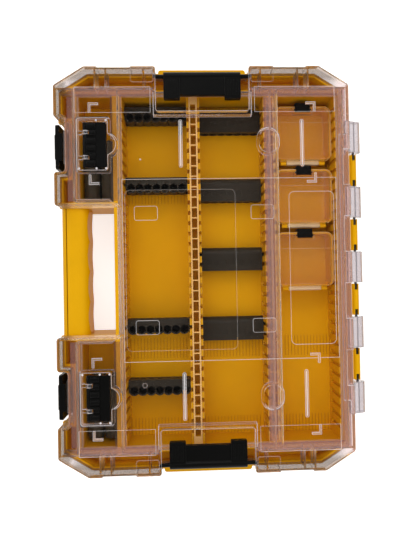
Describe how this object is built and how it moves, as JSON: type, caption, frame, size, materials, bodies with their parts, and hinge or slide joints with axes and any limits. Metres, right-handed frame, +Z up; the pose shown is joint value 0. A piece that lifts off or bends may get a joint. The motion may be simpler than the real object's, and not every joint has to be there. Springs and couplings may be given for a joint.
{
  "type": "bit case",
  "caption": "Flat carrying case with a clear hinged lid, front latches, flip clips and a hand slot, fitted with pivoting bit bars and small lidded bit boxes.",
  "frame": {"origin": "middle of the case's outer box, on the surface that it lies on", "axes": "+Z up out of the closed lid, +X from the handle to the hinge, +Y along the long side"},
  "size_m": [0.2506, 0.3306, 0.0672],
  "materials": {
    "tray_plastic": "moulded satin yellow plastic",
    "clear_plastic": "clear polished plastic",
    "box_clear_plastic": "clear lightly frosted plastic",
    "black_plastic": "fine textured black plastic",
    "bar_plastic": "dark grey moulded plastic",
    "pin_steel": "dark drawn steel"
  },
  "bodies": {
    "base": {"base_tray": "tray_plastic", "partition_left": "tray_plastic", "partition_right": "tray_plastic", "hinge_pin": "pin_steel", "latch_pin_upper": "pin_steel", "latch_pin_lower": "pin_steel", "spare_bit_bar_upper_1": "bar_plastic", "spare_bit_bar_upper_2": "bar_plastic", "spare_bit_bar_lower_1": "bar_plastic", "spare_bit_bar_lower_2": "bar_plastic", "bit_box_1": "tray_plastic", "bit_box_pin_1": "pin_steel", "bit_box_2": "tray_plastic", "bit_box_pin_2": "pin_steel", "bit_box_3": "tray_plastic", "bit_box_pin_3": "pin_steel"},
    "lid": {"lid": "clear_plastic", "lid_rim_upper_left": "clear_plastic", "lid_rim_lower_left": "clear_plastic", "lid_rim_right": "clear_plastic", "lid_lips_upper_left": "clear_plastic", "lid_lips_lower_left": "clear_plastic", "lid_lips_main": "clear_plastic", "clip_pocket_top": "clear_plastic", "clip_pocket_bottom": "clear_plastic", "tab_recess_upper": "clear_plastic", "tab_recess_lower": "clear_plastic", "lid_hollow_upper": "clear_plastic", "lid_hollow_lower": "clear_plastic", "latch_catch_upper": "clear_plastic", "latch_catch_lower": "clear_plastic", "tab_pin_upper": "pin_steel", "tab_pin_lower": "pin_steel"},
    "front_latch_upper": {"front_latch_upper": "black_plastic"},
    "lid_tab_upper": {"lid_tab_upper": "black_plastic"},
    "front_latch_lower": {"front_latch_lower": "black_plastic"},
    "lid_tab_lower": {"lid_tab_lower": "black_plastic"},
    "end_clip_top": {"end_clip_top": "black_plastic"},
    "end_clip_bottom": {"end_clip_bottom": "black_plastic"},
    "left_bit_bar_1": {"left_bit_bar_1": "bar_plastic"},
    "left_bit_bar_2": {"left_bit_bar_2": "bar_plastic"},
    "left_bit_bar_3": {"left_bit_bar_3": "bar_plastic"},
    "left_bit_bar_4": {"left_bit_bar_4": "bar_plastic"},
    "middle_bit_bar_1": {"middle_bit_bar_1": "bar_plastic"},
    "middle_bit_bar_2": {"middle_bit_bar_2": "bar_plastic"},
    "middle_bit_bar_3": {"middle_bit_bar_3": "bar_plastic"},
    "middle_bit_bar_4": {"middle_bit_bar_4": "bar_plastic"},
    "bit_box_lid_1": {"bit_box_lid_1": "box_clear_plastic"},
    "bit_box_latch_1": {"bit_box_latch_1": "black_plastic"},
    "bit_box_lid_2": {"bit_box_lid_2": "box_clear_plastic"},
    "bit_box_latch_2": {"bit_box_latch_2": "black_plastic"},
    "bit_box_lid_3": {"bit_box_lid_3": "box_clear_plastic"},
    "bit_box_latch_3": {"bit_box_latch_3": "black_plastic"}
  },
  "joints": [
    {"name": "lid_hinge", "type": "hinge", "parent": "base", "child": "lid", "pos_m": [0.1195, 0, 0.047], "axis": [0, 1, 0], "range_deg": [0, 175]},
    {"name": "front_latch_upper_swing", "type": "hinge", "parent": "base", "child": "front_latch_upper", "pos_m": [-0.1204, 0.1005, 0.024], "axis": [0, -1, 0], "range_deg": [-4.5, 95]},
    {"name": "lid_tab_upper_flip", "type": "hinge", "parent": "lid", "child": "lid_tab_upper", "pos_m": [-0.0994, 0.1005, 0.0614], "axis": [0, -1, 0], "range_deg": [0, 95]},
    {"name": "front_latch_lower_swing", "type": "hinge", "parent": "base", "child": "front_latch_lower", "pos_m": [-0.1204, -0.1005, 0.024], "axis": [0, -1, 0], "range_deg": [-4.5, 95]},
    {"name": "lid_tab_lower_flip", "type": "hinge", "parent": "lid", "child": "lid_tab_lower", "pos_m": [-0.0994, -0.1005, 0.0614], "axis": [0, -1, 0], "range_deg": [0, 95]},
    {"name": "end_clip_top_flip", "type": "hinge", "parent": "lid", "child": "end_clip_top", "pos_m": [-0.0059, 0.1555, 0.0604], "axis": [-1, 0, 0], "range_deg": [0, 165]},
    {"name": "end_clip_bottom_flip", "type": "hinge", "parent": "lid", "child": "end_clip_bottom", "pos_m": [-0.0059, -0.1555, 0.0604], "axis": [1, 0, 0], "range_deg": [0, 165]},
    {"name": "left_bit_bar_1_tilt", "type": "hinge", "parent": "base", "child": "left_bit_bar_1", "pos_m": [-0.0461, 0.13485, 0.0105], "axis": [1, 0, 0], "range_deg": [0, 90]},
    {"name": "left_bit_bar_2_tilt", "type": "hinge", "parent": "base", "child": "left_bit_bar_2", "pos_m": [-0.0461, 0.07395, 0.0105], "axis": [1, 0, 0], "range_deg": [0, 90]},
    {"name": "left_bit_bar_3_tilt", "type": "hinge", "parent": "base", "child": "left_bit_bar_3", "pos_m": [-0.0461, -0.04785, 0.0105], "axis": [1, 0, 0], "range_deg": [0, 90]},
    {"name": "left_bit_bar_4_tilt", "type": "hinge", "parent": "base", "child": "left_bit_bar_4", "pos_m": [-0.0461, -0.10005, 0.0105], "axis": [1, 0, 0], "range_deg": [0, 90]},
    {"name": "middle_bit_bar_1_tilt", "type": "hinge", "parent": "base", "child": "middle_bit_bar_1", "pos_m": [0.0185, 0.13485, 0.0105], "axis": [1, 0, 0], "range_deg": [-90, 0]},
    {"name": "middle_bit_bar_2_tilt", "type": "hinge", "parent": "base", "child": "middle_bit_bar_2", "pos_m": [0.0185, 0.07395, 0.0105], "axis": [1, 0, 0], "range_deg": [-90, 0]},
    {"name": "middle_bit_bar_3_tilt", "type": "hinge", "parent": "base", "child": "middle_bit_bar_3", "pos_m": [0.0185, 0.01305, 0.0105], "axis": [1, 0, 0], "range_deg": [-90, 0]},
    {"name": "middle_bit_bar_4_tilt", "type": "hinge", "parent": "base", "child": "middle_bit_bar_4", "pos_m": [0.0185, -0.04785, 0.0105], "axis": [1, 0, 0], "range_deg": [-90, 0]},
    {"name": "bit_box_lid_1_hinge", "type": "hinge", "parent": "base", "child": "bit_box_lid_1", "pos_m": [0.0811, 0.091, 0.024], "axis": [1, 0, 0], "range_deg": [0, 38]},
    {"name": "bit_box_latch_1_rock", "type": "hinge", "parent": "bit_box_lid_1", "child": "bit_box_latch_1", "pos_m": [0.0811, 0.1373, 0.0278], "axis": [1, 0, 0], "range_deg": [-4, 3]},
    {"name": "bit_box_lid_2_hinge", "type": "hinge", "parent": "base", "child": "bit_box_lid_2", "pos_m": [0.0811, 0.0366, 0.024], "axis": [1, 0, 0], "range_deg": [0, 38]},
    {"name": "bit_box_latch_2_rock", "type": "hinge", "parent": "bit_box_lid_2", "child": "bit_box_latch_2", "pos_m": [0.0811, 0.0829, 0.0278], "axis": [1, 0, 0], "range_deg": [-4, 3]},
    {"name": "bit_box_lid_3_hinge", "type": "hinge", "parent": "base", "child": "bit_box_lid_3", "pos_m": [0.0811, -0.0178, 0.024], "axis": [1, 0, 0], "range_deg": [0, 38]},
    {"name": "bit_box_latch_3_rock", "type": "hinge", "parent": "bit_box_lid_3", "child": "bit_box_latch_3", "pos_m": [0.0811, 0.0285, 0.0278], "axis": [1, 0, 0], "range_deg": [-4, 3]}
  ]
}
